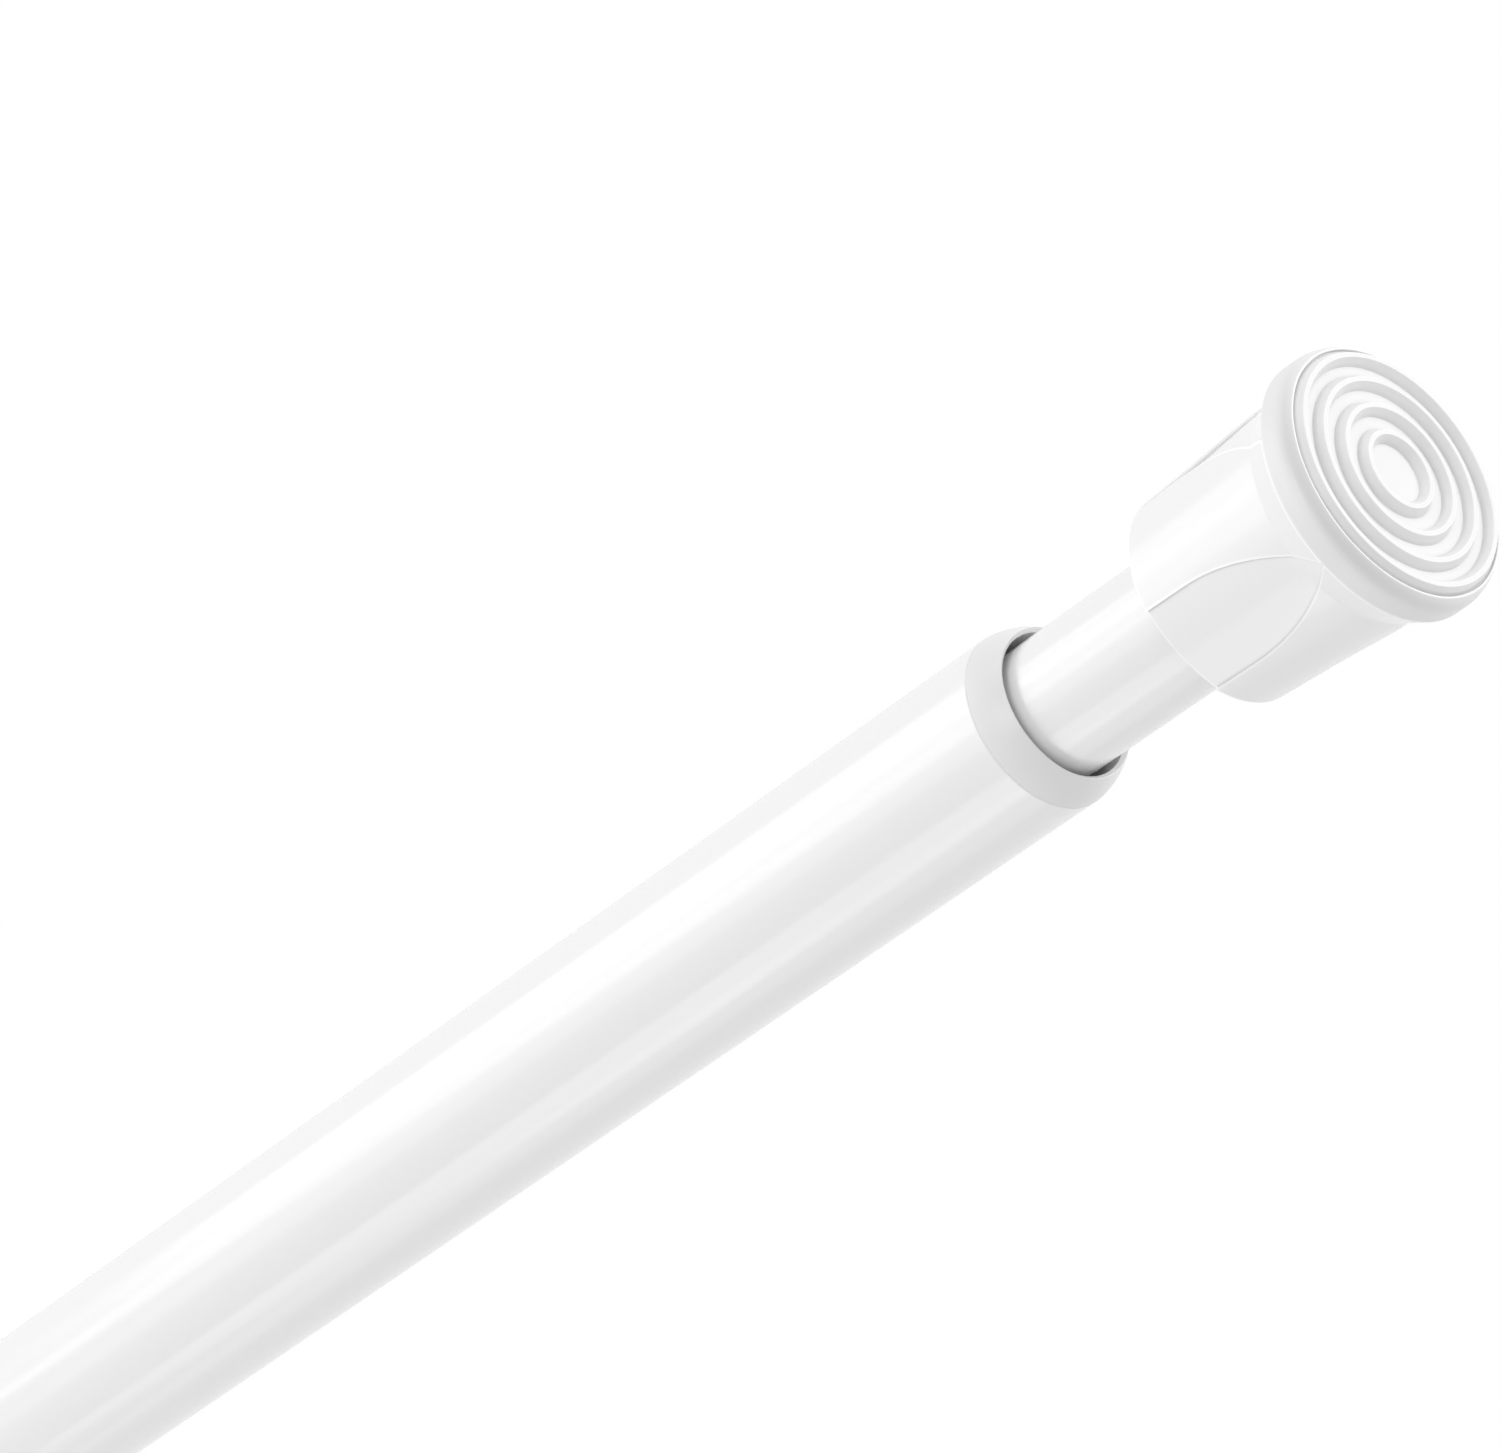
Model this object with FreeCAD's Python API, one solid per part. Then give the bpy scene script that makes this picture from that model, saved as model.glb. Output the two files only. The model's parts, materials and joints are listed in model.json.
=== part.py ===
"""Spring tension rod: two telescoping tubes, a twist lock, a pressure spring and ringed soft feet.

Millimetres. X runs along the rod from the fixed foot to the sliding foot, and Z is up. The origin is the
centre of the fixed foot's face, in the plane of its ring crests. The rod is at its shortest, unlocked.
"""
import FreeCAD
import Part

import math
import os

# Rod
closed_length = 406.0
spring_travel = 17.2
shown_tube = 18.0
stop_gap = 0.8
least_overlap = 50.0
lock_home = 58.5

# Tubes
outer_tube_radius = 8.0
inner_tube_radius = 6.0
tube_wall = 0.5

# Fits: glued or pressed pieces, turning or threaded pieces, pieces that slide past each other
seat_clearance = 0.05
running_clearance = 0.1
sliding_clearance = 0.3

# Foot pad
ring_radii = (3.28, 5.68, 8.0, 10.14)
ring_height = 0.8
ring_base_width = 1.34
ring_waist_width = 1.0
ring_waist_height = 0.46
ring_crest_width = 0.4
pad_shoulder_radius = 11.06
pad_shoulder_land = 0.15
pad_shoulder_set_back = 0.55
pad_groove_width = 0.06
pad_side_start = 2.3
pad_floor_thickness = 1.2
pad_wrap = 3.46

# End cap
rim_radius = 11.62
spigot_radius = 10.35
spigot_bead_radius = 10.65
spigot_bead_length = 0.6
flare_length = 2.54
neck_radius = 10.37
waist_length = 8.15
waist_radius = 9.76
skirt_radius = 9.4
skirt_length = 17.67
neck_fillet = 0.8
waist_fillet = 120.0
socket_depth = 15.0
sleeve_wall = 0.95
rib_count = 6
rib_thickness = 1.0
rib_set_back = 1.5

# Arches in the end cap: two stand on the skirt's edge, two open towards the rim
recess_neck_fillet = 5.0
arch_half_width = 4.15
arch_spring_length = 4.5
arch_skirt_depth = 0.45
arch_neck_depth = 0.3
arch_tip_depth = 0.12
arch_flatness = 2.9
trumpet_start_length = 0.6
trumpet_groove_half_width = 0.12
trumpet_arc_radius = 26.0
trumpet_depth = 0.34
trumpet_rim_depth = 0.1

# Collar in the outer tube's mouth
collar_nose_length = 3.16
collar_mouth_radius = 6.95
collar_nose_bulge = 0.2
collar_hole_radius = 6.57
collar_lip_chamfer = 0.3
seam_chamfer = 0.12
collar_hole_depth = 4.0
collar_spigot_length = 12.0

# Twist lock
lock_rod_radius = 2.5
thread_lead = 2.0
lock_turns = 1.5
sleeve_length = 28.0
sleeve_hub_length = 4.0
sleeve_finger_length = 16.0
sleeve_slot_width = 2.4
sleeve_slots = 4
taper_length = 12.0
taper_mouth_radius = 5.8
taper_end_radius = 4.6
lock_slack = 0.1
wedge_length = 8.0
wedge_start = 1.0
wedge_key_radius = 6.6
washer_radius = 4.5
thrust_collar_length = 2.0
clip_length = 1.0
clip_radius = 4.2
end_stop_length = 2.0
end_stop_radius = 3.8
face_gap = 0.2

# Pressure spring and what holds it
bush_flange_length = 3.0
bush_spigot_length = 10.0
follower_length = 3.0
spring_length = 60.0
spring_turns = 12
spring_wire = 1.2
spring_wire_sides = 6
spring_play = 0.6
stop_plug_length = 8.0

# Worked out from the sizes above
axis = FreeCAD.Vector(1, 0, 0)
origin = FreeCAD.Vector(0, 0, 0)
outer_bore = outer_tube_radius - tube_wall
inner_bore = inner_tube_radius - tube_wall
skirt_end = pad_wrap + skirt_length
socket_floor = skirt_end - socket_depth
mouth_x = closed_length - skirt_end - shown_tube
outer_tube_end = mouth_x - collar_nose_length
lock_travel = thread_lead * lock_turns
sleeve_end = lock_home + sleeve_length
thrust_end = sleeve_end + face_gap + thrust_collar_length
inner_tube_tail = thrust_end + stop_gap + spring_travel + bush_flange_length
telescope_travel = outer_tube_end - least_overlap - inner_tube_tail
bush_end = inner_tube_tail + bush_spigot_length
follower_start = bush_end + sliding_clearance
spring_start = follower_start + follower_length
spring_end = spring_start + spring_length
taper_slope = (taper_mouth_radius - taper_end_radius) / taper_length


def point(x, radius):
    """A point of a half section: distance along the rod and distance from its axis."""
    return FreeCAD.Vector(x, 0, radius)


def line(a, b):
    return Part.LineSegment(a, b).toShape()


def arc(a, middle, b):
    return Part.Arc(a, middle, b).toShape()


def levelling_arc(start, end):
    """Arc that climbs from the start and runs level, along the rod, at its end."""
    run = end.x - start.x
    rise = end.z - start.z
    radius = (run ** 2 + rise ** 2) / (2 * rise)
    half_turn = math.asin(run / radius) / 2
    middle = point(end.x - radius * math.sin(half_turn), end.z - radius * (1 - math.cos(half_turn)))
    return arc(start, middle, end)


def polygon(*corners):
    """Closed edges through the corners, for a half section or a flat outline."""
    return [line(a, b) for a, b in zip(corners, corners[1:] + corners[:1])]


def turned(edges):
    """Solid of revolution of a closed half section about the rod's axis."""
    return Part.Face(Part.Wire(edges)).revolve(origin, axis, 360)


def barrel(start, end, radius):
    return Part.makeCylinder(radius, end - start, point(start, 0), axis)


def bushing(start, end, radius, bore):
    return barrel(start, end, radius).cut(barrel(start, end, bore))


def around_axis(shape, count, first=0.0):
    """Copies of a shape, evenly spaced about the rod's axis."""
    return [shape.rotated(origin, axis, first + 360.0 * i / count) for i in range(count)]


def at_sliding_end(shape):
    """The same piece at the rod's other end, facing the other way."""
    turned_round = shape.rotated(origin, FreeCAD.Vector(0, 0, 1), 180)
    return turned_round.translated(FreeCAD.Vector(closed_length, 0, 0))


def ring_section(radius):
    """Open edges of one raised ring, from its inner foot over the crest to its outer foot."""
    levels = [
        (ring_height, ring_base_width),
        (ring_waist_height, ring_waist_width),
        (0, ring_crest_width),
    ]
    inner_side = [point(x, radius - width / 2) for x, width in levels]
    outer_side = [point(x, radius + width / 2) for x, width in reversed(levels)]
    corners = inner_side + outer_side
    return [line(a, b) for a, b in zip(corners, corners[1:])]


def end_pad():
    """Rubber cup over the cap's spigot, with a flat face that carries the raised rings."""
    back = ring_height + pad_floor_thickness
    bead_end = back + spigot_bead_length
    edges = []
    last = point(ring_height, 0)
    for radius in ring_radii:
        ring = ring_section(radius)
        edges.append(line(last, ring[0].firstVertex().Point))
        edges.extend(ring)
        last = point(ring_height, radius + ring_base_width / 2)
    land = point(pad_shoulder_set_back, pad_shoulder_radius - pad_shoulder_land)
    groove = point(ring_height, land.z - pad_groove_width)
    shoulder = point(pad_shoulder_set_back, pad_shoulder_radius)
    side = point(pad_side_start, rim_radius)
    edges.extend([line(last, groove), line(groove, land), line(land, shoulder)])
    edges.append(levelling_arc(shoulder, side))
    corners = [
        side,
        point(pad_wrap, rim_radius),
        point(pad_wrap, spigot_radius),
        point(bead_end, spigot_radius),
        point(bead_end, spigot_bead_radius),
        point(back, spigot_bead_radius),
        point(back, 0),
        point(ring_height, 0),
    ]
    edges.extend(line(a, b) for a, b in zip(corners, corners[1:]))
    return turned(edges)


def cap_side(skirt_depth=0.0, neck_depth=0.0, rim_depth=0.0, lift=0.0):
    """Corners of the cap's outside, rim to skirt, at depths below the full form and lifted off the axis."""
    neck_x = pad_wrap + flare_length
    waist_depth = (skirt_depth + neck_depth) / 2
    return [
        point(pad_wrap, rim_radius - rim_depth + lift),
        point(neck_x, neck_radius - neck_depth + lift),
        point(neck_x + waist_length, waist_radius - waist_depth + lift),
        point(skirt_end, skirt_radius - skirt_depth + lift),
    ]


def rounded_side(corners, neck_rounding):
    """Edges through the outside's corners, rounded at the neck and at the waist."""
    edges = []
    last = corners[0]
    radii = (neck_rounding, waist_fillet)
    for before, corner, after, radius in zip(corners, corners[1:], corners[2:], radii):
        rounding, end = tangent_round(before, corner, after, radius)
        edges.append(line(last, rounding.firstVertex().Point))
        edges.append(rounding)
        last = end
    edges.append(line(last, corners[-1]))
    return edges


def tangent_round(before, corner, after, radius):
    """Arc of the given radius that rounds a corner, and the point where it ends."""
    to_before = (before - corner).normalize()
    to_after = (after - corner).normalize()
    half_angle = to_before.getAngle(to_after) / 2
    room = 0.49 * min((before - corner).Length, (after - corner).Length)
    reach = min(radius / math.tan(half_angle), room)
    used_radius = reach * math.tan(half_angle)
    middle_direction = (to_before + to_after).normalize()
    centre = corner + middle_direction * (used_radius / math.sin(half_angle))
    start = corner + to_before * reach
    end = corner + to_after * reach
    return arc(start, centre - middle_direction * used_radius, end), end


def cap_blank(bore):
    """The cap before its arches are cut: flared body, spigot for the pad and a bore for the tube."""
    corners = cap_side()
    back = ring_height + pad_floor_thickness
    bead_end = back + spigot_bead_length
    rest = [
        corners[-1],
        point(skirt_end, bore),
        point(socket_floor, bore),
        point(socket_floor, 0),
        point(back, 0),
        point(back, spigot_bead_radius),
        point(bead_end, spigot_bead_radius),
        point(bead_end, spigot_radius),
        point(pad_wrap, spigot_radius),
        corners[0],
    ]
    edges = rounded_side(corners, neck_fillet) + [line(a, b) for a, b in zip(rest, rest[1:])]
    return turned(edges)


def outside_of(corners, axis_drop):
    """Everything outside a turned surface whose axis lies below the rod's axis by the drop."""
    far = 2 * rim_radius + axis_drop
    rim, skirt = corners[0], corners[-1]
    past = point(skirt.x + stop_gap, skirt.z)
    rest = [skirt, past, point(past.x, far), point(rim.x, far), rim]
    edges = rounded_side(corners, recess_neck_fillet)
    edges.extend(line(a, b) for a, b in zip(rest, rest[1:]))
    return turned(edges).translated(FreeCAD.Vector(0, 0, -axis_drop))


def upright_arch_outline():
    """Pointed arch that stands on the skirt's edge, with its tip at the rim, drawn in the XY plane."""
    start = skirt_end - arch_spring_length
    rise = start - pad_wrap
    arc_radius = (rise ** 2 + arch_half_width ** 2) / (2 * arch_half_width)
    half_turn = math.asin(rise / arc_radius) / 2
    middle_x = start - arc_radius * math.sin(half_turn)
    middle_y = arch_half_width - arc_radius * (1 - math.cos(half_turn))
    foot = skirt_end + stop_gap
    tip = FreeCAD.Vector(pad_wrap, 0, 0)
    edges = []
    for side in (1, -1):
        spring_point = FreeCAD.Vector(start, side * arch_half_width, 0)
        edges.append(line(FreeCAD.Vector(foot, side * arch_half_width, 0), spring_point))
        edges.append(arc(spring_point, FreeCAD.Vector(middle_x, side * middle_y, 0), tip))
    edges.append(line(FreeCAD.Vector(foot, arch_half_width, 0), FreeCAD.Vector(foot, -arch_half_width, 0)))
    return edges


def trumpet_outline():
    """Recess that starts as a fine groove at the skirt and opens to both sides towards the rim."""
    start = skirt_end - trumpet_start_length
    rise = start - pad_wrap
    turn = math.asin(rise / trumpet_arc_radius)
    end_half_width = trumpet_groove_half_width + trumpet_arc_radius * (1 - math.cos(turn))
    middle_x = start - trumpet_arc_radius * math.sin(turn / 2)
    middle_y = trumpet_groove_half_width + trumpet_arc_radius * (1 - math.cos(turn / 2))
    foot = skirt_end + stop_gap
    edges = []
    for side in (1, -1):
        groove = FreeCAD.Vector(start, side * trumpet_groove_half_width, 0)
        corner = FreeCAD.Vector(pad_wrap, side * end_half_width, 0)
        edges.append(line(FreeCAD.Vector(foot, side * trumpet_groove_half_width, 0), groove))
        edges.append(arc(groove, FreeCAD.Vector(middle_x, side * middle_y, 0), corner))
    for x, half in ((foot, trumpet_groove_half_width), (pad_wrap, end_half_width)):
        edges.append(line(FreeCAD.Vector(x, half, 0), FreeCAD.Vector(x, -half, 0)))
    return edges


def raised(edges):
    """Prism over a flat outline in the XY plane, upwards past the cap's rim."""
    face = Part.Face(Part.Wire(Part.__sortEdges__(edges)))
    return face.extrude(FreeCAD.Vector(0, 0, 2 * rim_radius))


def arch_cutters():
    """The four recesses' tools: arches to the front and back, trumpets above and below."""
    arch_surface = cap_side(arch_skirt_depth, arch_neck_depth, arch_tip_depth, arch_flatness)
    arch = raised(upright_arch_outline()).common(outside_of(arch_surface, arch_flatness))
    trumpet_surface = cap_side(trumpet_depth, trumpet_depth, trumpet_rim_depth)
    trumpet = raised(trumpet_outline()).common(outside_of(trumpet_surface, 0))
    return around_axis(arch, 2, first=90.0) + around_axis(trumpet, 2)


def end_cap(tube_radius):
    """Moulded cap. On the thinner tube, an inner sleeve on ribs takes the tube inside the same skirt."""
    skirt_bore = outer_tube_radius + seat_clearance
    body = cap_blank(skirt_bore)
    sleeve_bore = tube_radius + seat_clearance
    if sleeve_bore < skirt_bore:
        sleeve_radius = sleeve_bore + sleeve_wall
        lip = skirt_end - rib_set_back
        sleeve = bushing(socket_floor, lip, sleeve_radius, sleeve_bore)
        reach = (skirt_bore + skirt_radius) / 2 - sleeve_bore
        rib_base = sleeve_bore + sleeve_wall / 2
        rib = Part.makeBox(lip - socket_floor, rib_thickness, reach - sleeve_wall / 2)
        rib = rib.translated(FreeCAD.Vector(socket_floor, -rib_thickness / 2, rib_base))
        body = body.fuse([sleeve] + around_axis(rib, rib_count, first=180.0 / rib_count))
    return body.cut(arch_cutters()).removeSplitter()


def outer_tube():
    """The thicker tube, its mouth end chamfered where the collar meets it."""
    chamfer_start = outer_tube_end - seam_chamfer
    return turned(polygon(
        point(socket_floor, outer_bore),
        point(socket_floor, outer_tube_radius),
        point(chamfer_start, outer_tube_radius),
        point(outer_tube_end, outer_tube_radius - seam_chamfer),
        point(outer_tube_end, outer_bore),
    ))


def mouth_collar():
    """Rounded nose flush with the tube, with a spigot inside it that guides the inner tube."""
    spigot_radius_here = outer_bore - seat_clearance
    guide_bore = inner_tube_radius + sliding_clearance
    spigot_start = outer_tube_end - collar_spigot_length
    hole_end = mouth_x - collar_hole_depth
    nose_start = point(outer_tube_end + seam_chamfer, outer_tube_radius)
    lip = point(mouth_x, collar_mouth_radius)
    chord_middle = (nose_start + lip) * 0.5
    bulge = chord_middle + FreeCAD.Vector(1, 0, 1).normalize() * collar_nose_bulge
    corners = [
        lip,
        point(mouth_x, collar_hole_radius + collar_lip_chamfer),
        point(mouth_x - collar_lip_chamfer, collar_hole_radius),
        point(hole_end, collar_hole_radius),
        point(hole_end - collar_lip_chamfer, guide_bore),
        point(spigot_start, guide_bore),
        point(spigot_start, spigot_radius_here),
        point(outer_tube_end, spigot_radius_here),
        point(outer_tube_end, outer_tube_radius - seam_chamfer),
        nose_start,
    ]
    edges = [arc(nose_start, bulge, lip)]
    edges.extend(line(a, b) for a, b in zip(corners, corners[1:]))
    return turned(edges)


def brake_sleeve():
    """Expander: a slotted sleeve with a tapered mouth, and a hub that the rod turns in."""
    radius = outer_bore - sliding_clearance
    hub_start = sleeve_end - sleeve_hub_length
    taper_end = lock_home + taper_length
    hub_bore = lock_rod_radius + running_clearance
    body = turned(polygon(
        point(lock_home, taper_mouth_radius),
        point(lock_home, radius),
        point(sleeve_end, radius),
        point(sleeve_end, hub_bore),
        point(hub_start, hub_bore),
        point(hub_start, taper_end_radius),
        point(taper_end, taper_end_radius),
    ))
    slot = Part.makeBox(sleeve_finger_length, sleeve_slot_width, radius + stop_gap)
    slot = slot.translated(FreeCAD.Vector(lock_home, -sleeve_slot_width / 2, 0))
    return body.cut(around_axis(slot, sleeve_slots))


def wedge_nut():
    """Tapered nut on the rod's thread, with two keys that run in the sleeve's slots."""
    start = lock_home + wedge_start
    end = start + wedge_length
    closing = lock_slack + taper_slope * lock_travel
    start_radius = taper_mouth_radius - taper_slope * wedge_start - closing
    end_radius = start_radius - taper_slope * wedge_length
    bore = lock_rod_radius + running_clearance
    body = turned(polygon(
        point(start, bore),
        point(start, start_radius),
        point(end, end_radius),
        point(end, bore),
    ))
    key_width = sleeve_slot_width - 2 * sliding_clearance
    key_base = (bore + end_radius) / 2
    key = Part.makeBox(wedge_length, key_width, wedge_key_radius - key_base)
    key = key.translated(FreeCAD.Vector(start, -key_width / 2, key_base))
    return body.fuse(around_axis(key, 2)).removeSplitter()


def plunger_rod():
    return barrel(lock_home - end_stop_length, spring_start, lock_rod_radius)


def on_rod(start, length, radius):
    """Round piece pressed on the plunger rod."""
    return bushing(start, start + length, radius, lock_rod_radius + seat_clearance)


def tail_bush():
    """Bush pressed into the inner tube's hidden end, with a flange that slides in the outer tube."""
    flange_radius = outer_bore - sliding_clearance
    spigot_radius_here = inner_bore - seat_clearance
    bore = lock_rod_radius + sliding_clearance
    return turned(polygon(
        point(inner_tube_tail - bush_flange_length, bore),
        point(inner_tube_tail - bush_flange_length, flange_radius),
        point(inner_tube_tail, flange_radius),
        point(inner_tube_tail, spigot_radius_here),
        point(bush_end, spigot_radius_here),
        point(bush_end, bore),
    ))


def tension_spring():
    """Compression spring, wound from tilted half turns of wire that share their end faces."""
    coil_radius = inner_bore - spring_play - spring_wire / 2
    angles = [2 * math.pi * i / spring_wire_sides for i in range(spring_wire_sides)]
    wire_rim = [point(math.sin(angle), math.cos(angle)) * (spring_wire / 2) for angle in angles]
    rise = (spring_length - spring_wire) / (2 * spring_turns)
    half_turns = []
    for i in range(2 * spring_turns):
        side = 1 if i % 2 == 0 else -1
        start = point(spring_start + spring_wire / 2 + i * rise, side * coil_radius)
        end = point(start.x + rise, -start.z)
        winding_axis = (end - start).cross(FreeCAD.Vector(0, side, 0))
        section = Part.Face(Part.Wire(polygon(*[start + offset for offset in wire_rim])))
        half_turns.append(section.revolve((start + end) * 0.5, winding_axis, 180))
    return half_turns[0].fuse(half_turns[1:])


def build():
    follower_radius = inner_bore - sliding_clearance
    clip_start = sleeve_end - sleeve_hub_length - face_gap - clip_length
    return {
        "outer_tube": outer_tube(),
        "mouth_collar": mouth_collar(),
        "outer_end_cap": end_cap(outer_tube_radius),
        "outer_end_pad": end_pad(),
        "brake_sleeve": brake_sleeve(),
        "wedge_nut": wedge_nut(),
        "plunger_rod": plunger_rod(),
        "thrust_collar": on_rod(sleeve_end + face_gap, thrust_collar_length, washer_radius),
        "retaining_clip": on_rod(clip_start, clip_length, clip_radius),
        "end_stop": on_rod(lock_home - end_stop_length, end_stop_length, end_stop_radius),
        "spring_follower": on_rod(follower_start, follower_length, follower_radius),
        "tail_bush": tail_bush(),
        "inner_tube": bushing(inner_tube_tail, closed_length - socket_floor, inner_tube_radius, inner_bore),
        "spring_stop": barrel(spring_end, spring_end + stop_plug_length, inner_bore - seat_clearance),
        "tension_spring": tension_spring(),
        "inner_end_cap": at_sliding_end(end_cap(inner_tube_radius)),
        "inner_end_pad": at_sliding_end(end_pad()),
    }


print("telescope travel", round(telescope_travel, 2))
os.makedirs("parts", exist_ok=True)
for name, shape in build().items():
    solids = shape.Solids
    print(name, len(solids), round(shape.Volume, 2), shape.isValid())
    shape.exportStep("parts/" + name + ".step")
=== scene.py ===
"""Looks of the spring tension rod: finishes, the wound spring, studio light and the camera."""
import json
import math

import bpy
from mathutils import Matrix, Vector


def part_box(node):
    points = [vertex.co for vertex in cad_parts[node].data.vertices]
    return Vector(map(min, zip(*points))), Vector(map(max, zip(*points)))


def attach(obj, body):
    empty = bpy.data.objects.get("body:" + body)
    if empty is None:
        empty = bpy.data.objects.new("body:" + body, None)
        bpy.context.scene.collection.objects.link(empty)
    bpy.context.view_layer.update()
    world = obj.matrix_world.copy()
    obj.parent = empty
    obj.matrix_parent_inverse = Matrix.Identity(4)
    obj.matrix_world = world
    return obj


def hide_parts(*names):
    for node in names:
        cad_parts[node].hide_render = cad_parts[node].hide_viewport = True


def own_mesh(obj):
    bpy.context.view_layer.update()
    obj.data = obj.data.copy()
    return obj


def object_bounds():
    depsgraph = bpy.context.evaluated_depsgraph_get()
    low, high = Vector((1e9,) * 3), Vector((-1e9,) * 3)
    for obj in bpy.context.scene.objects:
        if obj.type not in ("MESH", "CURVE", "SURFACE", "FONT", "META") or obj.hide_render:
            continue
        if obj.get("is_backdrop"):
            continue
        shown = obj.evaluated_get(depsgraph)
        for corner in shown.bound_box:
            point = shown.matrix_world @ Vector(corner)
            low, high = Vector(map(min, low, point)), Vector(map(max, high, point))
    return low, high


MILLIMETRE = 0.001
MICRON = 0.000001
WHITE = (1.0, 1.0, 1.0)

# Camera, from the fit of the rod's circles and edges to the photograph, in metres in the rod's frame
CAMERA_PLACE = Vector((0.696169, -0.439096, 0.098183))
CAMERA_RIGHT = Vector((0.63431, 0.38381, -0.67107))
CAMERA_UP = Vector((0.45920, 0.51126, 0.72646))
FOCAL_LENGTH = 165.42
SENSOR_WIDTH = 36.0
CLIP_START = 0.01

# Studio. Lamps are soft squares around the shown end of the rod, each named with its direction along the
# rod (1 is straight at the sliding foot), its angle about the rod in degrees from +Y towards +Z, and watts
SHOWN_END = Vector((0.375, 0.0, 0.0))
LAMP_DISTANCE = 0.9
LAMP_SIZE = 0.4
LAMPS = (
    ("overhead", 0.25, 78, 0.66),
    ("key", 0.25, 140, 1.4),
    ("overhead_behind", -0.62, 90, 0.66),
    ("key_behind", -0.62, 115, 0.8),
    ("left_behind", -0.62, 140, 0.37),
    ("low_behind", -0.62, 215, 0.69),
    ("under_behind", -0.62, 240, 0.3),
    ("foot", 0.85, -13, 4.08),
)
ROOM_LEVEL = 0.67
FLOOR_DROP = 0.75
FLOOR_SIZE = 12.0
FLOOR_COLOUR = 0.78
FLOOR_ROUGHNESS = 0.9
FLOOR_GLOW = 0.45

# Pressure spring, in metres: a round wire whose last turns lie closed
SPRING_WIRE = 0.0012
SPRING_RADIUS = 0.0043
SPRING_TURNS = 12
SPRING_END_GAP = 0.00002
CLOSED_TURNS = 1.0
CLOSING_TURNS = 0.5
STEPS_PER_TURN = 48
WIRE_SIDES = 12

# The feet's rims, in metres: the radius outside which a rim rolls over, how far from the rod's end the
# roll starts and ends, and how far its normal leans at most
RIM_RADIUS = 0.01095
RIM_ROLL_START = 0.0019
RIM_ROLL_END = 0.0009
RIM_LEAN = 0.7

# The middle part of a noise's values, which is spread over a finish's range
NOISE_LOW = 0.25
NOISE_HIGH = 0.75

# Painted shade in inner corners and painted highlights on outer edges: how open the surroundings are, from 0
# to 1, where the painted tone is full and where it is gone
PAINTED_EDGE_FULL = 0.7
PAINTED_EDGE_GONE = 0.96
PAINTED_EDGE_SAMPLES = 8


def grey(tone):
    return (tone, tone, tone)


def calculate(tree, operation, first, second=0.0):
    """One step of arithmetic in a node tree, on sockets or plain numbers."""
    node = tree.nodes.new("ShaderNodeMath")
    node.operation = operation
    for socket, value in zip(node.inputs, (first, second)):
        if isinstance(value, float):
            socket.default_value = value
        else:
            tree.links.new(value, socket)
    return node.outputs["Value"]


def map_range(tree, value, start, end, low=0.0, high=1.0):
    """Maps the values from start to end onto low to high, and holds there."""
    ramp = tree.nodes.new("ShaderNodeMapRange")
    limits = {"From Min": start, "From Max": end, "To Min": low, "To Max": high}
    for name, limit in limits.items():
        ramp.inputs[name].default_value = limit
    tree.links.new(value, ramp.inputs["Value"])
    return ramp.outputs["Result"]


def material(name, colour, roughness, **sockets):
    """Principled material; further sockets are given by name."""
    mat = bpy.data.materials.new(name)
    mat.use_nodes = True
    shader = mat.node_tree.nodes["Principled BSDF"]
    shader.inputs["Base Color"].default_value = (*colour, 1.0)
    shader.inputs["Roughness"].default_value = roughness
    for socket, value in sockets.items():
        shader.inputs[socket.replace("_", " ")].default_value = value
    return mat


def noise(mat, cells, detail=3.0, stretch=(1.0, 1.0, 1.0)):
    """Noise in the object's own space, with so many cells a metre."""
    nodes, links = mat.node_tree.nodes, mat.node_tree.links
    place = nodes.new("ShaderNodeTexCoord")
    mapping = nodes.new("ShaderNodeMapping")
    mapping.inputs["Scale"].default_value = stretch
    texture = nodes.new("ShaderNodeTexNoise")
    texture.inputs["Scale"].default_value = cells
    texture.inputs["Detail"].default_value = detail
    links.new(place.outputs["Object"], mapping.inputs["Vector"])
    links.new(mapping.outputs["Vector"], texture.inputs["Vector"])
    return texture.outputs["Fac"]


def vary_roughness(mat, value, low, high):
    """Moves the roughness between two levels along a noise value."""
    shader = mat.node_tree.nodes["Principled BSDF"]
    roughness = map_range(mat.node_tree, value, NOISE_LOW, NOISE_HIGH, low, high)
    mat.node_tree.links.new(roughness, shader.inputs["Roughness"])


def vary_colour(mat, value, low, high):
    """Moves the base colour between two tones along a noise value."""
    nodes, links = mat.node_tree.nodes, mat.node_tree.links
    ramp = nodes.new("ShaderNodeValToRGB")
    first, last = ramp.color_ramp.elements
    first.position, last.position = NOISE_LOW, NOISE_HIGH
    first.color = (*low, 1.0)
    last.color = (*high, 1.0)
    links.new(value, ramp.inputs["Fac"])
    links.new(ramp.outputs["Color"], nodes["Principled BSDF"].inputs["Base Color"])


def away_from_edges(mat, reach, inner):
    """Mask of the painted shade and painted highlights: 0 in a piece's inner corners, or on its outer edges,
    and 1 away from them.
    """
    openness = mat.node_tree.nodes.new("ShaderNodeAmbientOcclusion")
    openness.samples = PAINTED_EDGE_SAMPLES
    openness.only_local = True
    openness.inside = not inner
    openness.inputs["Distance"].default_value = reach
    return map_range(mat.node_tree, openness.outputs["AO"], PAINTED_EDGE_FULL, PAINTED_EDGE_GONE)


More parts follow.
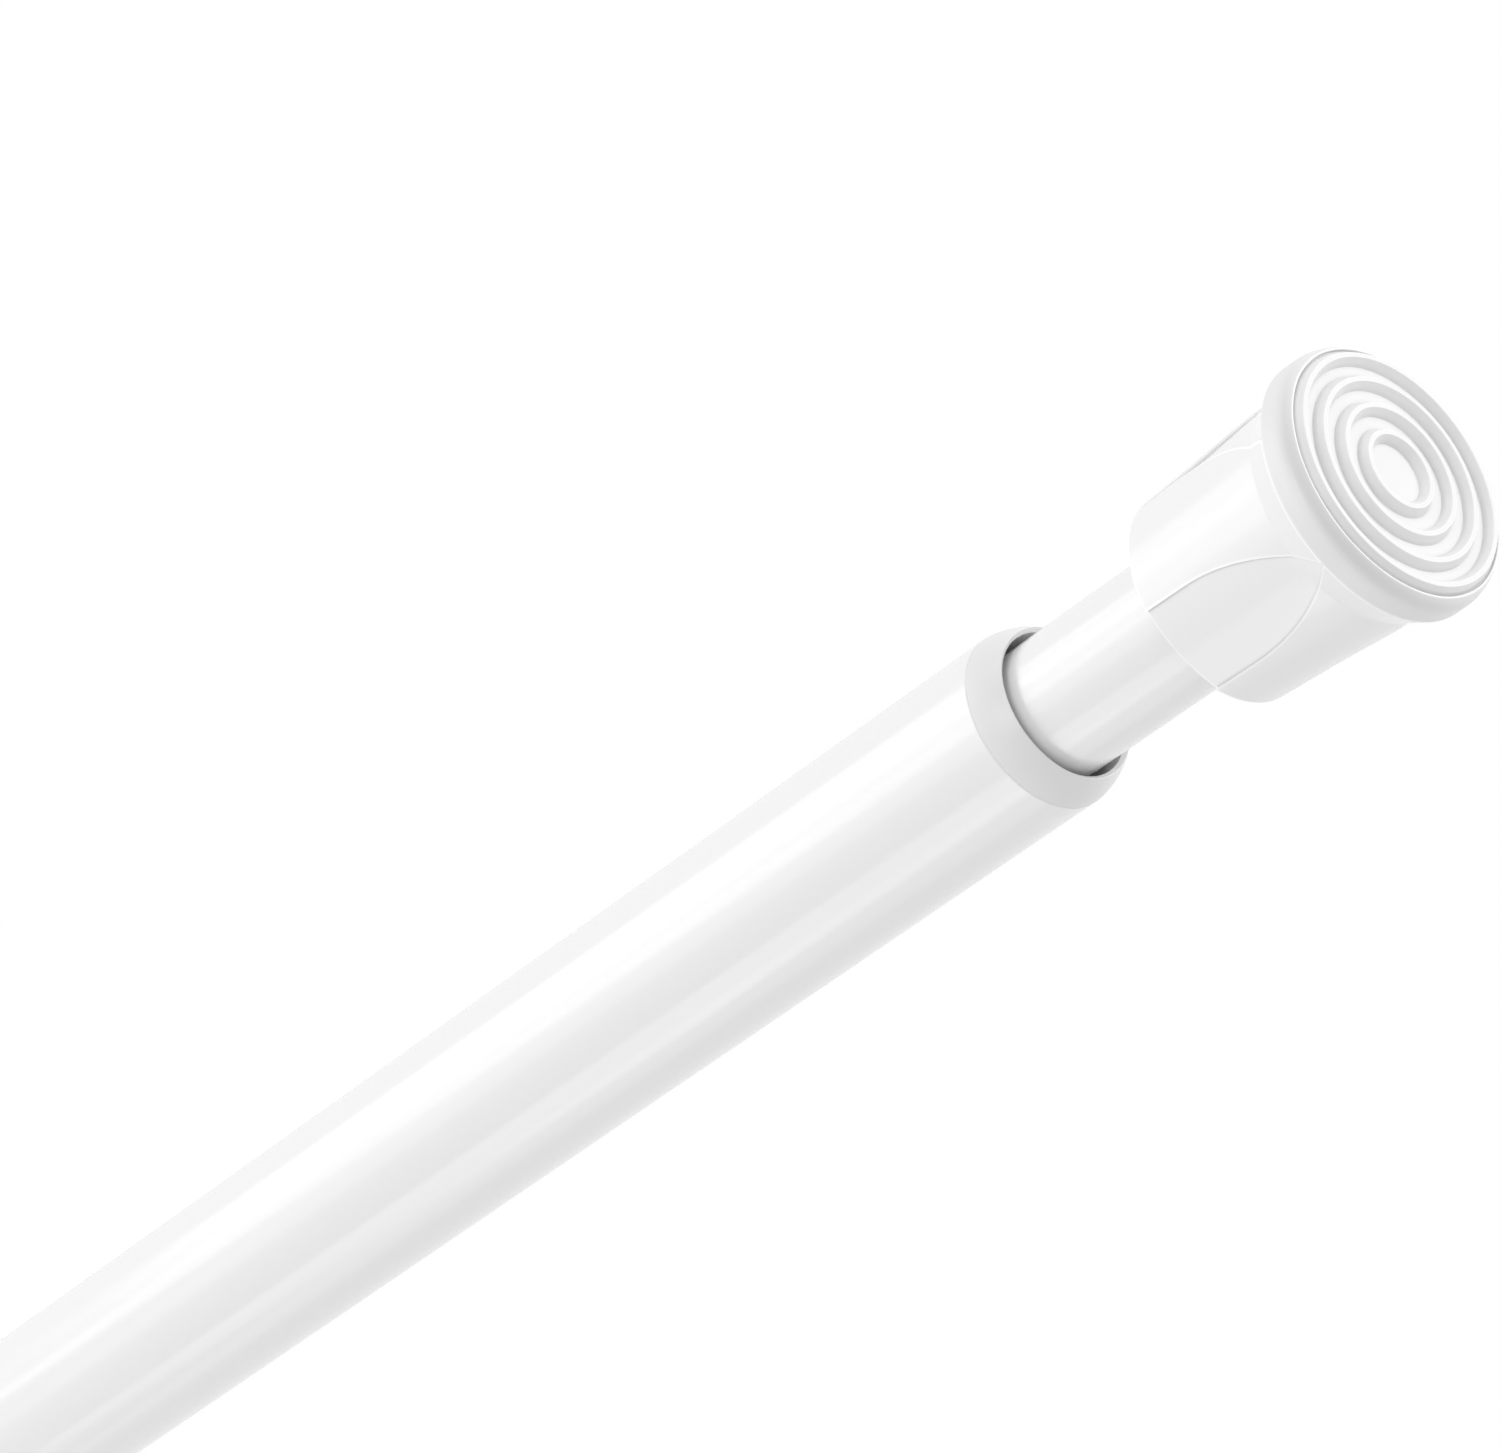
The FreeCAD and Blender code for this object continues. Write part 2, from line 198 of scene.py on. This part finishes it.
def paint_edge_shade_and_highlight(mat, reach, tone, inner):
    """Fades a varied base colour to a grey tone in the inner corners, as painted shade, or on the outer
    edges, as a painted highlight.
    """
    nodes, links = mat.node_tree.nodes, mat.node_tree.links
    base = nodes["Principled BSDF"].inputs["Base Color"]
    mix = nodes.new("ShaderNodeMix")
    mix.data_type = "RGBA"
    mix.inputs["A"].default_value = (*grey(tone), 1.0)
    links.new(away_from_edges(mat, reach, inner), mix.inputs["Factor"])
    links.new(base.links[0].from_socket, mix.inputs["B"])
    links.new(mix.outputs["Result"], base)


def add_bumps(mat, *layers, under=None):
    """Stacks bump layers, each a height value with its depth in metres, over a normal."""
    nodes, links = mat.node_tree.nodes, mat.node_tree.links
    last = under
    for height, depth in layers:
        bump = nodes.new("ShaderNodeBump")
        bump.inputs["Strength"].default_value = 1.0
        bump.inputs["Distance"].default_value = depth
        links.new(height, bump.inputs["Height"])
        if last:
            links.new(last, bump.inputs["Normal"])
        last = bump.outputs["Normal"]
    links.new(last, nodes["Principled BSDF"].inputs["Normal"])


def enamel():
    """White gloss paint on steel tube, with a faint orange-peel."""
    mat = material("white_enamel", grey(0.86), 0.2, IOR=1.5, Coat_Weight=0.25, Coat_Roughness=0.08)
    vary_roughness(mat, noise(mat, cells=90.0), low=0.17, high=0.24)
    peel = (noise(mat, cells=420.0), 4 * MICRON)
    grain = (noise(mat, cells=2600.0), 0.8 * MICRON)
    add_bumps(mat, peel, grain)
    return mat


def gloss_plastic():
    """Polished white moulding of the end caps, with painted shade in its creases and painted highlights on
    its thin edges.
    """
    mat = material("white_plastic", grey(0.86), 0.22, IOR=1.49)
    vary_roughness(mat, noise(mat, cells=140.0), low=0.19, high=0.26)
    vary_colour(mat, noise(mat, cells=35.0), grey(0.865), grey(0.88))
    # painted shade: a darker grey in the creases and at the feet of the steps
    paint_edge_shade_and_highlight(mat, 0.28 * MILLIMETRE, tone=0.76, inner=True)
    # painted highlight: a lighter grey on the thin convex edges
    paint_edge_shade_and_highlight(mat, 0.24 * MILLIMETRE, tone=0.97, inner=False)
    flow = (noise(mat, cells=260.0), 4 * MICRON)
    grain = (noise(mat, cells=3200.0), 0.8 * MICRON)
    add_bumps(mat, flow, grain)
    return mat


def rim_lean(mat):
    """Vector that points along the rod, out of its nearer end, on the rims of the feet and is 0 elsewhere."""
    tree = mat.node_tree
    low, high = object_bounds()
    middle = (low.x + high.x) / 2
    place = tree.nodes.new("ShaderNodeTexCoord")
    split = tree.nodes.new("ShaderNodeSeparateXYZ")
    tree.links.new(place.outputs["Object"], split.inputs["Vector"])
    along, across, up = split.outputs
    squares = [calculate(tree, "MULTIPLY", part, part) for part in (across, up)]
    radius = calculate(tree, "SQRT", calculate(tree, "ADD", *squares))
    on_rim = calculate(tree, "GREATER_THAN", radius, RIM_RADIUS)
    offset = calculate(tree, "SUBTRACT", along, middle)
    distance = calculate(tree, "ABSOLUTE", offset)
    lean = map_range(tree, distance, middle - RIM_ROLL_START, middle - RIM_ROLL_END, high=RIM_LEAN)
    amount = calculate(tree, "MULTIPLY", lean, on_rim)
    outwards = tree.nodes.new("ShaderNodeCombineXYZ")
    tree.links.new(calculate(tree, "MULTIPLY", amount, calculate(tree, "SIGN", offset)), outwards.inputs["X"])
    turned = tree.nodes.new("ShaderNodeVectorTransform")
    turned.convert_from, turned.convert_to = "OBJECT", "WORLD"
    tree.links.new(outwards.outputs["Vector"], turned.inputs["Vector"])
    return turned.outputs["Vector"]


def rolled_rim(mat):
    """Normal that leans out of the rod's end on a foot's tapered rim, as on a rolled edge."""
    nodes, links = mat.node_tree.nodes, mat.node_tree.links
    surface = nodes.new("ShaderNodeNewGeometry")
    leaning = nodes.new("ShaderNodeVectorMath")
    leaning.operation = "ADD"
    unit = nodes.new("ShaderNodeVectorMath")
    unit.operation = "NORMALIZE"
    links.new(surface.outputs["Normal"], leaning.inputs[0])
    links.new(rim_lean(mat), leaning.inputs[1])
    links.new(leaning.outputs["Vector"], unit.inputs[0])
    return unit.outputs["Vector"]


def soft_rubber():
    """Matte off-white rubber of the feet, with painted shade in its inner corners and painted highlights on
    its outer edges.
    """
    mat = material("foot_rubber", grey(0.8), 0.38, IOR=1.5)
    vary_roughness(mat, noise(mat, cells=300.0), low=0.34, high=0.42)
    vary_colour(mat, noise(mat, cells=120.0), grey(0.79), grey(0.81))
    # painted shade: a darker grey in the corners at the feet of the rings
    paint_edge_shade_and_highlight(mat, 0.4 * MILLIMETRE, tone=0.71, inner=True)
    # painted highlight: a lighter grey on the rings' crests and other outer edges
    paint_edge_shade_and_highlight(mat, 0.2 * MILLIMETRE, tone=0.88, inner=False)
    flow = (noise(mat, cells=900.0), 6 * MICRON)
    grain = (noise(mat, cells=6000.0, detail=5.0), 4 * MICRON)
    add_bumps(mat, flow, grain, under=rolled_rim(mat))
    return mat


def collar_plastic():
    """Light grey matte moulding in the tube's mouth."""
    mat = material("grey_plastic", grey(0.78), 0.34, IOR=1.47)
    vary_roughness(mat, noise(mat, cells=200.0), low=0.3, high=0.38)
    vary_colour(mat, noise(mat, cells=60.0), grey(0.775), grey(0.795))
    add_bumps(mat, (noise(mat, cells=4200.0, detail=4.0), 4 * MICRON))
    return mat


def lock_plastic():
    """Natural, slightly warm plastic of the hidden lock parts."""
    mat = material("natural_plastic", (0.8, 0.79, 0.75), 0.38, IOR=1.48)
    vary_roughness(mat, noise(mat, cells=180.0), low=0.34, high=0.45)
    vary_colour(mat, noise(mat, cells=50.0), (0.79, 0.78, 0.735), (0.815, 0.805, 0.77))
    add_bumps(mat, (noise(mat, cells=3800.0, detail=4.0), 5 * MICRON))
    return mat


def zinc_steel():
    """Zinc plated steel, turned, so its fine marks run around the rod."""
    mat = material("zinc_steel", (0.66, 0.67, 0.68), 0.32, Metallic=1.0)
    vary_roughness(mat, noise(mat, cells=500.0, stretch=(6.0, 1.0, 1.0)), low=0.26, high=0.4)
    vary_colour(mat, noise(mat, cells=70.0), (0.62, 0.63, 0.65), grey(0.7))
    add_bumps(mat, (noise(mat, cells=900.0, stretch=(8.0, 1.0, 1.0)), 4 * MICRON))
    return mat


def spring_wire():
    """Drawn spring steel, darker, with marks along the wire."""
    mat = material("spring_wire", (0.5, 0.5, 0.51), 0.3, Metallic=1.0)
    vary_roughness(mat, noise(mat, cells=800.0), low=0.24, high=0.38)
    vary_colour(mat, noise(mat, cells=120.0), (0.46, 0.46, 0.47), grey(0.54))
    add_bumps(mat, (noise(mat, cells=2400.0), 3 * MICRON))
    return mat


FINISHES = {
    "tube_paint": enamel,
    "collar_plastic": collar_plastic,
    "cap_plastic": gloss_plastic,
    "pad_rubber": soft_rubber,
    "lock_plastic": lock_plastic,
    "zinc_steel": zinc_steel,
    "spring_steel": spring_wire,
}


def dress(frame):
    """Gives every carried-over solid the finish of its material slot."""
    finishes = {slot: make() for slot, make in FINISHES.items()}
    for subpart in frame["record"]["subparts"]:
        mesh = frame["nodes"][subpart["node"]].data
        mesh.materials.clear()
        mesh.materials.append(finishes[subpart["material_slot"]])


def around(angle):
    """Direction away from the rod's axis at an angle in radians, from +Y towards +Z."""
    return Vector((0.0, math.cos(angle), math.sin(angle)))


def spring_line(start, end):
    """Centre points of the wire, each with its angle; the pitch eases into the closed last turns."""
    length = end - start - SPRING_WIRE
    opening = (length - SPRING_WIRE * SPRING_TURNS) / (SPRING_TURNS - 2 * CLOSED_TURNS)
    x = start + SPRING_WIRE / 2
    line = []
    for i in range(SPRING_TURNS * STEPS_PER_TURN + 1):
        angle = 2 * math.pi * i / STEPS_PER_TURN
        line.append((Vector((x, 0.0, 0.0)) + around(angle) * SPRING_RADIUS, angle))
        turn = (i + 0.5) / STEPS_PER_TURN
        from_closed = min(turn, SPRING_TURNS - turn) - CLOSED_TURNS
        opened = max(0.0, min(1.0, from_closed / CLOSING_TURNS + 0.5))
        x += (SPRING_WIRE + opening * opened) / STEPS_PER_TURN
    return line


def wire_mesh(line):
    """Round tube along the wire's centre points, closed at both ends."""
    points = []
    for i, (centre, angle) in enumerate(line):
        before, after = line[max(i - 1, 0)][0], line[min(i + 1, len(line) - 1)][0]
        radial = around(angle)
        side = (after - before).cross(radial).normalized()
        for j in range(WIRE_SIDES):
            turn = 2 * math.pi * j / WIRE_SIDES
            points.append(centre + (radial * math.cos(turn) + side * math.sin(turn)) * SPRING_WIRE / 2)
    last = len(points) - WIRE_SIDES
    faces = [tuple(reversed(range(WIRE_SIDES))), tuple(range(last, len(points)))]
    for ring in range(0, last, WIRE_SIDES):
        for j in range(WIRE_SIDES):
            here, beside = ring + j, ring + (j + 1) % WIRE_SIDES
            faces.append((here, beside, beside + WIRE_SIDES, here + WIRE_SIDES))
    mesh = bpy.data.meshes.new("wound_spring")
    mesh.from_pydata(points, [], faces)
    mesh.polygons.foreach_set("use_smooth", [True] * len(mesh.polygons))
    return mesh


def wound_spring(frame):
    """Round-wire spring in the thinner tube."""
    low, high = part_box("tension_spring")
    mesh = wire_mesh(spring_line(low[0] + SPRING_END_GAP, high[0] - SPRING_END_GAP))
    mesh.materials.append(frame["nodes"]["tension_spring"].data.materials[0])
    spring = bpy.data.objects.new("wound_spring", mesh)
    bpy.context.scene.collection.objects.link(spring)
    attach(spring, "inner_group")
    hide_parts("tension_spring")
    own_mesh(spring)


def seen_rays(tree):
    """1 for rays from the camera, in reflections and through clear parts, 0 for all others."""
    path = tree.nodes.new("ShaderNodeLightPath")
    seen = path.outputs["Is Camera Ray"]
    for ray in ("Is Glossy Ray", "Is Transmission Ray"):
        seen = calculate(tree, "MAXIMUM", seen, path.outputs[ray])
    return seen


def add_room():
    """World light: an even room that lights the rod softly and looks white."""
    world = bpy.data.worlds.new("room")
    bpy.context.scene.world = world
    world.use_nodes = True
    tree = world.node_tree
    background = tree.nodes["Background"]
    background.inputs["Color"].default_value = (*WHITE, 1.0)
    level = map_range(tree, seen_rays(tree), 0.0, 1.0, low=ROOM_LEVEL)
    tree.links.new(level, background.inputs["Strength"])


def add_floor():
    """Paper floor well below the rod, which glows a little so that it looks white."""
    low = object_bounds()[0].z
    bpy.ops.mesh.primitive_plane_add(size=FLOOR_SIZE, location=(SHOWN_END.x, 0, low - FLOOR_DROP))
    floor = bpy.context.object
    floor.name = "floor"
    mat = material("floor_paper", grey(FLOOR_COLOUR), FLOOR_ROUGHNESS, Emission_Color=(*WHITE, 1.0))
    tree = mat.node_tree
    glow = calculate(tree, "MULTIPLY", seen_rays(tree), FLOOR_GLOW)
    tree.links.new(glow, tree.nodes["Principled BSDF"].inputs["Emission Strength"])
    floor.data.materials.append(mat)
    floor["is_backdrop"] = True


def add_lamp(name, along, angle, power):
    """Soft square lamp that looks at the rod's shown end."""
    across = math.sqrt(1 - along ** 2)
    away = Vector((along, 0.0, 0.0)) + around(math.radians(angle)) * across
    data = bpy.data.lights.new(name, "AREA")
    data.shape = "SQUARE"
    data.size = LAMP_SIZE
    data.energy = power
    lamp = bpy.data.objects.new(name, data)
    bpy.context.scene.collection.objects.link(lamp)
    lamp.location = SHOWN_END + away * LAMP_DISTANCE
    lamp.rotation_euler = away.to_track_quat("Z", "Y").to_euler()


def add_camera():
    """Camera at the photograph's viewing angle."""
    data = bpy.data.cameras.new("camera")
    data.lens = FOCAL_LENGTH
    data.sensor_width = SENSOR_WIDTH
    data.clip_start = CLIP_START
    camera = bpy.data.objects.new("camera", data)
    bpy.context.scene.collection.objects.link(camera)
    right = CAMERA_RIGHT.normalized()
    back = right.cross(CAMERA_UP).normalized()
    up = back.cross(right)
    turn = Matrix((right, up, back)).transposed().to_4x4()
    camera.matrix_world = Matrix.Translation(CAMERA_PLACE) @ turn
    bpy.context.scene.camera = camera


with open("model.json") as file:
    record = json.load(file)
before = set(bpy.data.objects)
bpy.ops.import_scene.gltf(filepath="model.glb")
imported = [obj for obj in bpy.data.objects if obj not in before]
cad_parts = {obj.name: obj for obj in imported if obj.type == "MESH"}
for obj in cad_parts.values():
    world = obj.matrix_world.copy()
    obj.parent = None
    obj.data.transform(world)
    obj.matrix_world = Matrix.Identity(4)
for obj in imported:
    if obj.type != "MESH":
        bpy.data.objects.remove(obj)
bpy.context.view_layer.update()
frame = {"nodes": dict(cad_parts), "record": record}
dress(frame)
wound_spring(frame)
add_room()
add_floor()
for lamp in LAMPS:
    add_lamp(*lamp)
add_camera()
bpy.context.scene.view_settings.view_transform = "Standard"
